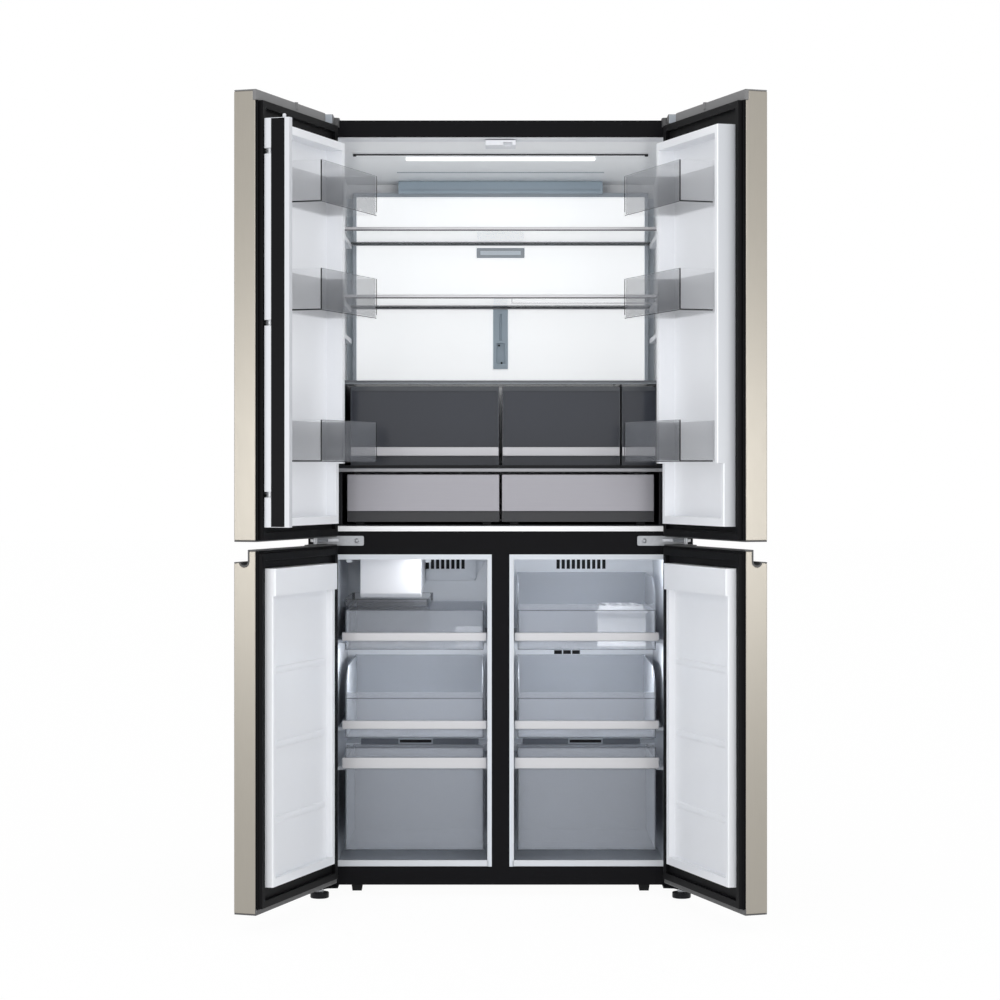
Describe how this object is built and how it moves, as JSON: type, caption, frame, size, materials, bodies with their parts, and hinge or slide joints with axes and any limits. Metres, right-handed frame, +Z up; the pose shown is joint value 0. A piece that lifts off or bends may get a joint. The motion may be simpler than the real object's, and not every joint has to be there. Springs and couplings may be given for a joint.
{
  "type": "four-door fridge-freezer",
  "caption": "Four-door kitchen-fit fridge-freezer standing open: French doors over two freezer doors, with shelves, bins, drawers, ice maker and cooling plant.",
  "frame": {"origin": "on the floor, in the middle of the box round the object as it stands with its doors open", "axes": "+Z up, -Y towards the person at the open doors, +X to that person's right"},
  "size_m": [1.1626, 1.1324, 1.84],
  "materials": {
    "case_paint": "satin grey paint",
    "foam": "rigid foam",
    "white_liner": "glossy moulded liner",
    "black_frame": "satin black paint",
    "lamp": "milky diffuser",
    "white_plastic": "moulded white",
    "grey_plastic": "moulded grey",
    "dark_plastic": "moulded near black",
    "shelf_glass": "clear toughened glass",
    "cover_glass": "framed glass",
    "silver_trim": "satin anodised",
    "coil_aluminium": "bare",
    "compressor_paint": "black enamel",
    "zinc_sheet": "galvanised",
    "hinge_steel": "zinc plated",
    "black_steel": "black coated",
    "door_steel": "warm fine-brushed steel",
    "gasket_rubber": "black gasket",
    "clear_plastic": "clear moulded plastic",
    "smoke_plastic": "smoky moulded plastic",
    "drawer_steel": "brushed"
  },
  "bodies": {
    "cabinet": {"case": "case_paint", "insulation": "foam", "fridge_liner": "white_liner", "freezer_liners": "white_liner", "front_frame": "black_frame", "rear_cover": "case_paint", "air_duct": "white_liner", "ceiling_lamp": "lamp", "mullion_guide": "white_plastic", "glass_shelves": "shelf_glass", "shelf_trims": "silver_trim", "shelf_supports": "white_plastic", "centre_rail": "grey_plastic", "crisper_cover": "cover_glass", "drawer_frame": "dark_plastic", "freezer_duct_covers": "white_liner", "evaporators": "coil_aluminium", "ice_maker": "white_plastic", "freezer_rails": "white_plastic", "compressor": "compressor_paint", "condenser": "coil_aluminium", "drip_tray": "grey_plastic", "base_pan": "zinc_sheet", "feet": "dark_plastic", "top_hinges": "hinge_steel", "hinge_covers": "grey_plastic", "mid_hinges": "hinge_steel", "bottom_hinges": "black_steel", "water_valve": "white_plastic"},
    "upper_left_door": {"upper_left_door": "door_steel", "upper_left_liner": "white_liner", "upper_left_gasket": "gasket_rubber", "left_door_bins": "clear_plastic"},
    "folding_mullion": {"folding_mullion": "dark_plastic"},
    "upper_right_door": {"upper_right_door": "door_steel", "upper_right_liner": "white_liner", "upper_right_gasket": "gasket_rubber", "right_door_bins": "clear_plastic"},
    "lower_left_door": {"lower_left_door": "door_steel", "lower_left_liner": "white_liner", "lower_left_gasket": "gasket_rubber"},
    "lower_right_door": {"lower_right_door": "door_steel", "lower_right_liner": "white_liner", "lower_right_gasket": "gasket_rubber"},
    "left_crisper": {"left_crisper": "smoke_plastic"},
    "right_crisper": {"right_crisper": "smoke_plastic"},
    "narrow_crisper": {"narrow_crisper": "smoke_plastic"},
    "left_pantry_drawer": {"left_pantry_drawer": "drawer_steel"},
    "right_pantry_drawer": {"right_pantry_drawer": "drawer_steel"},
    "freezer_top_left": {"freezer_top_left": "clear_plastic", "ice_bucket": "clear_plastic", "ice_scoop": "clear_plastic"},
    "freezer_mid_left": {"freezer_mid_left": "clear_plastic"},
    "freezer_low_left": {"freezer_low_left": "clear_plastic"},
    "freezer_top_right": {"freezer_top_right": "clear_plastic", "ice_tray": "clear_plastic"},
    "freezer_mid_right": {"freezer_mid_right": "clear_plastic"},
    "freezer_low_right": {"freezer_low_right": "clear_plastic"},
    "freezer_fan": {"freezer_fan": "white_plastic"},
    "condenser_fan": {"condenser_fan": "dark_plastic"}
  },
  "joints": [
    {"name": "upper_left_hinge", "type": "hinge", "parent": "cabinet", "child": "upper_left_door", "pos_m": [-0.434, -0.12284, 1.342], "axis": [0, 0, -1], "range_deg": [-109, 0]},
    {"name": "mullion_fold", "type": "hinge", "parent": "upper_left_door", "child": "folding_mullion", "pos_m": [-0.50159, -0.53689, 1.326], "axis": [0, 0, 1], "range_deg": [-90, 0]},
    {"name": "upper_right_hinge", "type": "hinge", "parent": "cabinet", "child": "upper_right_door", "pos_m": [0.434, -0.12284, 1.342], "axis": [0, 0, 1], "range_deg": [-109, 0]},
    {"name": "lower_left_hinge", "type": "hinge", "parent": "cabinet", "child": "lower_left_door", "pos_m": [-0.434, -0.12284, 0.434], "axis": [0, 0, -1], "range_deg": [-109, 0]},
    {"name": "lower_right_hinge", "type": "hinge", "parent": "cabinet", "child": "lower_right_door", "pos_m": [0.434, -0.12284, 0.434], "axis": [0, 0, 1], "range_deg": [-109, 0]},
    {"name": "left_crisper_slide", "type": "slide", "parent": "cabinet", "child": "left_crisper", "axis": [0, -1, 0], "range_m": [0, 0.23]},
    {"name": "right_crisper_slide", "type": "slide", "parent": "cabinet", "child": "right_crisper", "axis": [0, -1, 0], "range_m": [0, 0.23]},
    {"name": "narrow_crisper_slide", "type": "slide", "parent": "cabinet", "child": "narrow_crisper", "axis": [0, -1, 0], "range_m": [0, 0.23]},
    {"name": "left_pantry_slide", "type": "slide", "parent": "cabinet", "child": "left_pantry_drawer", "axis": [0, -1, 0], "range_m": [0, 0.33]},
    {"name": "right_pantry_slide", "type": "slide", "parent": "cabinet", "child": "right_pantry_drawer", "axis": [0, -1, 0], "range_m": [0, 0.33]},
    {"name": "freezer_top_left_slide", "type": "slide", "parent": "cabinet", "child": "freezer_top_left", "axis": [0, -1, 0], "range_m": [0, 0.32]},
    {"name": "freezer_mid_left_slide", "type": "slide", "parent": "cabinet", "child": "freezer_mid_left", "axis": [0, -1, 0], "range_m": [0, 0.32]},
    {"name": "freezer_low_left_slide", "type": "slide", "parent": "cabinet", "child": "freezer_low_left", "axis": [0, -1, 0], "range_m": [0, 0.27]},
    {"name": "freezer_top_right_slide", "type": "slide", "parent": "cabinet", "child": "freezer_top_right", "axis": [0, -1, 0], "range_m": [0, 0.32]},
    {"name": "freezer_mid_right_slide", "type": "slide", "parent": "cabinet", "child": "freezer_mid_right", "axis": [0, -1, 0], "range_m": [0, 0.32]},
    {"name": "freezer_low_right_slide", "type": "slide", "parent": "cabinet", "child": "freezer_low_right", "axis": [0, -1, 0], "range_m": [0, 0.27]},
    {"name": "freezer_fan_spin", "type": "hinge", "parent": "cabinet", "child": "freezer_fan", "pos_m": [-0.2095, 0.42716, 0.64], "axis": [0, 1, 0], "continuous": true},
    {"name": "condenser_fan_spin", "type": "hinge", "parent": "cabinet", "child": "condenser_fan", "pos_m": [-0.06108, 0.46316, 0.107], "axis": [1, 0, 0], "continuous": true}
  ],
  "couplings": [
    {"joint": "mullion_fold", "follows": "upper_left_hinge", "ratio": 0.82569}
  ]
}
